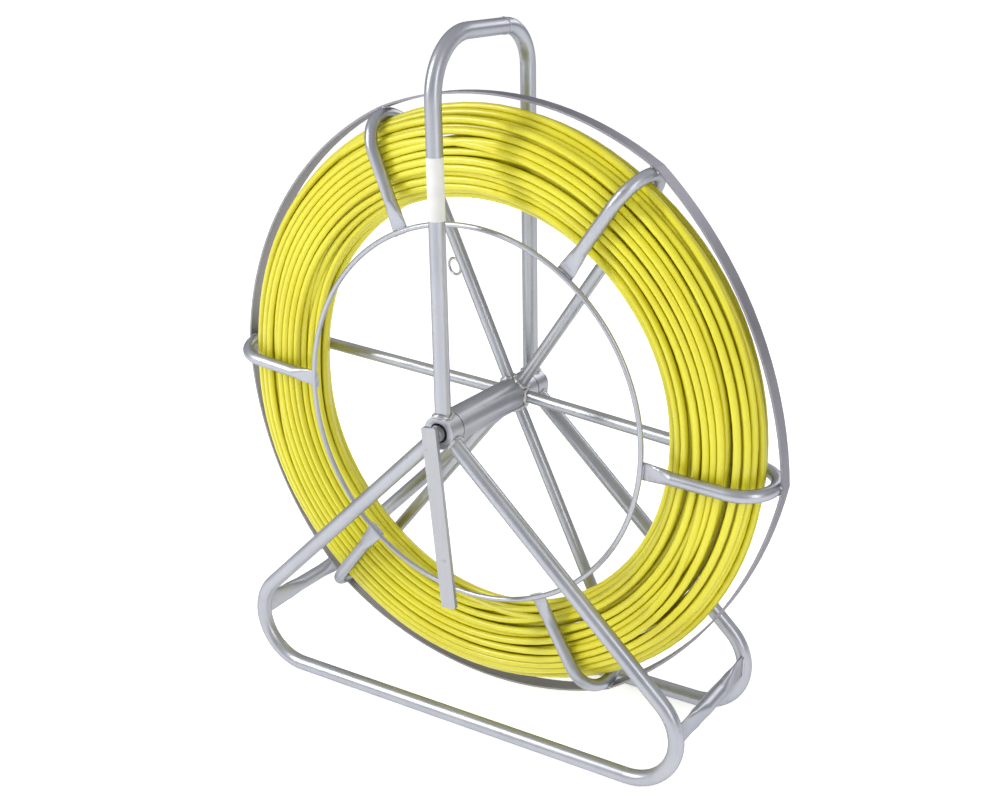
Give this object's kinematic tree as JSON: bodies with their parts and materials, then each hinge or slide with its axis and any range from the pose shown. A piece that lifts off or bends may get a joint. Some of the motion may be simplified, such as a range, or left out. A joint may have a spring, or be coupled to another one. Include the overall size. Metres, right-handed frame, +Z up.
{
  "type": "fish tape reel",
  "caption": "Yellow glass-fibre cable rod coiled in a wire reel that spins on a welded tube stand with a carrying handle and a brake lever.",
  "frame": {"origin": "on the floor, straight below the middle of the hub", "axes": "+Z up; +Y along the axle from the brake lever to the back; +X to the right when the reel is seen from the lever side"},
  "size_m": [0.6029, 0.1795, 0.6685],
  "materials": {
    "silver_steel": "satin silver lacquer over welded steel tube",
    "bare_steel": "plain turned steel",
    "bush_bronze": "plain bearing bronze",
    "yellow_rod": "smooth extruded sheath",
    "ferrule_brass": "turned brass",
    "white_label": "self-adhesive film, blank"
  },
  "bodies": {
    "stand": {"front_leg_frame": "silver_steel", "rear_leg_frame": "silver_steel", "front_collar": "silver_steel", "rear_collar": "silver_steel", "front_collar_bush": "bare_steel", "rear_clamp_nut": "bare_steel", "handle_front_tube": "silver_steel", "handle_rear_tube": "silver_steel", "left_crossbar": "silver_steel", "right_crossbar": "silver_steel", "handle_label": "white_label"},
    "brake": {"axle_screw": "bare_steel", "brake_lever": "silver_steel"},
    "reel": {"hub_tube": "silver_steel", "hub_front_bush": "bush_bronze", "hub_rear_bush": "bush_bronze", "spoke_1": "silver_steel", "spoke_2": "silver_steel", "spoke_3": "silver_steel", "spoke_4": "silver_steel", "spoke_5": "silver_steel", "spoke_6": "silver_steel", "front_ring": "silver_steel", "outer_hoop": "silver_steel", "guide_eye": "silver_steel", "rod_coil": "yellow_rod", "rod_lead_ferrule": "ferrule_brass", "rod_tail_ferrule": "ferrule_brass"}
  },
  "joints": [
    {"name": "reel_spin", "type": "hinge", "parent": "stand", "child": "reel", "pos_m": [0, 0, 0.31], "axis": [0, 1, 0], "continuous": true},
    {"name": "brake_lever_turn", "type": "hinge", "parent": "stand", "child": "brake", "pos_m": [0, 0, 0.31], "axis": [0, 1, 0], "range_deg": [-75, 90]}
  ]
}
